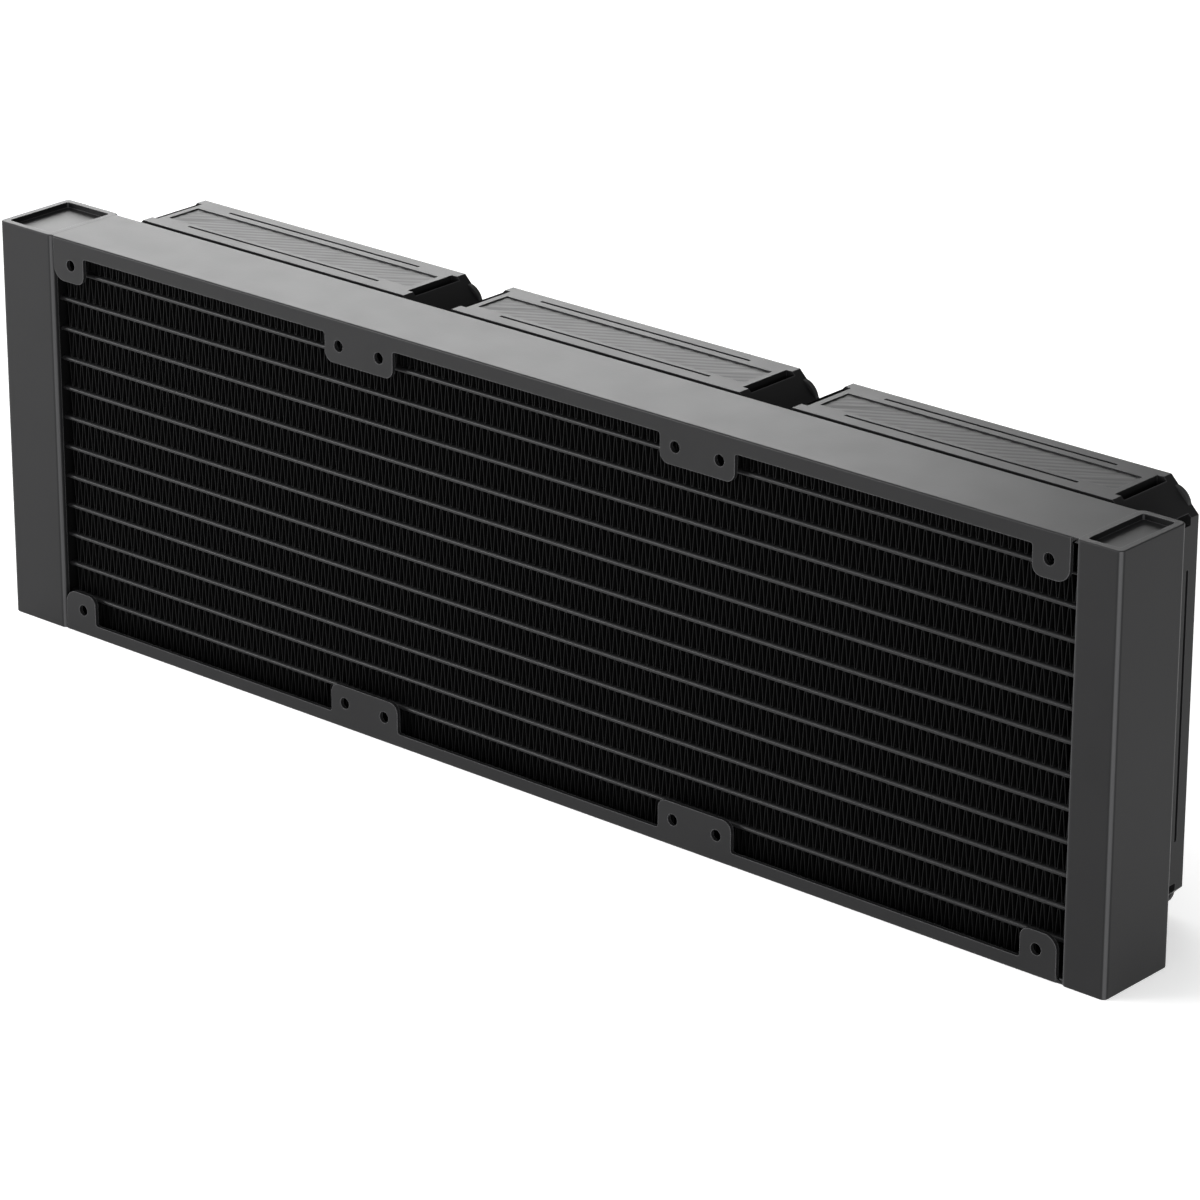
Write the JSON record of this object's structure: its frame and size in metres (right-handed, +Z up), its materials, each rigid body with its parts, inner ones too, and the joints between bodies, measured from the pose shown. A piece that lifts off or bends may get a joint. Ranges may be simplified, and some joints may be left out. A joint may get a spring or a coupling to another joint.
{
  "type": "liquid cooling radiator",
  "caption": "Slim liquid cooling radiator: end tanks joined by flat tubes with folded fins between, side channels with screw tabs, and axial fans screwed to the back face.",
  "frame": {"origin": "middle of the underside of the whole part's box", "axes": "+X along the radiator from the wide tank to the narrow tank, +Y from the open face to the fans, +Z up"},
  "size_m": [0.3956, 0.0528, 0.12],
  "materials": {
    "black_coat": "satin black coating",
    "tube_black": "satin black coating",
    "fin_black": "matte black coating",
    "fan_frame_black": "fine matte moulded plastic",
    "rotor_black": "satin moulded plastic",
    "shaft_steel": "ground steel",
    "stator_copper": "varnished copper windings on a steel core",
    "bearing_bronze": "sintered bronze",
    "screw_black": "black oxide"
  },
  "bodies": {
    "radiator": {"left_tank": "black_coat", "right_tank": "black_coat", "top_channel": "black_coat", "bottom_channel": "black_coat", "left_header": "black_coat", "right_header": "black_coat", "tube_01": "tube_black", "tube_02": "tube_black", "tube_03": "tube_black", "tube_04": "tube_black", "tube_05": "tube_black", "tube_06": "tube_black", "tube_07": "tube_black", "tube_08": "tube_black", "tube_09": "tube_black", "tube_10": "tube_black", "tube_11": "tube_black", "tube_12": "tube_black", "fin_row_01": "fin_black", "fin_row_02": "fin_black", "fin_row_03": "fin_black", "fin_row_04": "fin_black", "fin_row_05": "fin_black", "fin_row_06": "fin_black", "fin_row_07": "fin_black", "fin_row_08": "fin_black", "fin_row_09": "fin_black", "fin_row_10": "fin_black", "fin_row_11": "fin_black", "fin_row_12": "fin_black", "fin_row_13": "fin_black", "fan_1_screw_1": "screw_black", "fan_1_screw_2": "screw_black", "fan_1_screw_3": "screw_black", "fan_1_screw_4": "screw_black", "fan_2_screw_1": "screw_black", "fan_2_screw_2": "screw_black", "fan_2_screw_3": "screw_black", "fan_2_screw_4": "screw_black", "fan_3_screw_1": "screw_black", "fan_3_screw_2": "screw_black", "fan_3_screw_3": "screw_black", "fan_3_screw_4": "screw_black", "fan_1_frame": "fan_frame_black", "fan_1_stator": "stator_copper", "fan_1_bearing": "bearing_bronze", "fan_2_frame": "fan_frame_black", "fan_2_stator": "stator_copper", "fan_2_bearing": "bearing_bronze", "fan_3_frame": "fan_frame_black", "fan_3_stator": "stator_copper", "fan_3_bearing": "bearing_bronze"},
    "rotor_1": {"fan_1_rotor": "rotor_black", "fan_1_shaft": "shaft_steel"},
    "rotor_2": {"fan_2_rotor": "rotor_black", "fan_2_shaft": "shaft_steel"},
    "rotor_3": {"fan_3_rotor": "rotor_black", "fan_3_shaft": "shaft_steel"}
  },
  "joints": [
    {"name": "fan_1_spin", "type": "hinge", "parent": "radiator", "child": "rotor_1", "pos_m": [-0.1165, 0.0138, 0.06], "axis": [0, 1, 0], "continuous": true},
    {"name": "fan_2_spin", "type": "hinge", "parent": "radiator", "child": "rotor_2", "pos_m": [0.0035, 0.0138, 0.06], "axis": [0, 1, 0], "continuous": true},
    {"name": "fan_3_spin", "type": "hinge", "parent": "radiator", "child": "rotor_3", "pos_m": [0.1235, 0.0138, 0.06], "axis": [0, 1, 0], "continuous": true}
  ]
}
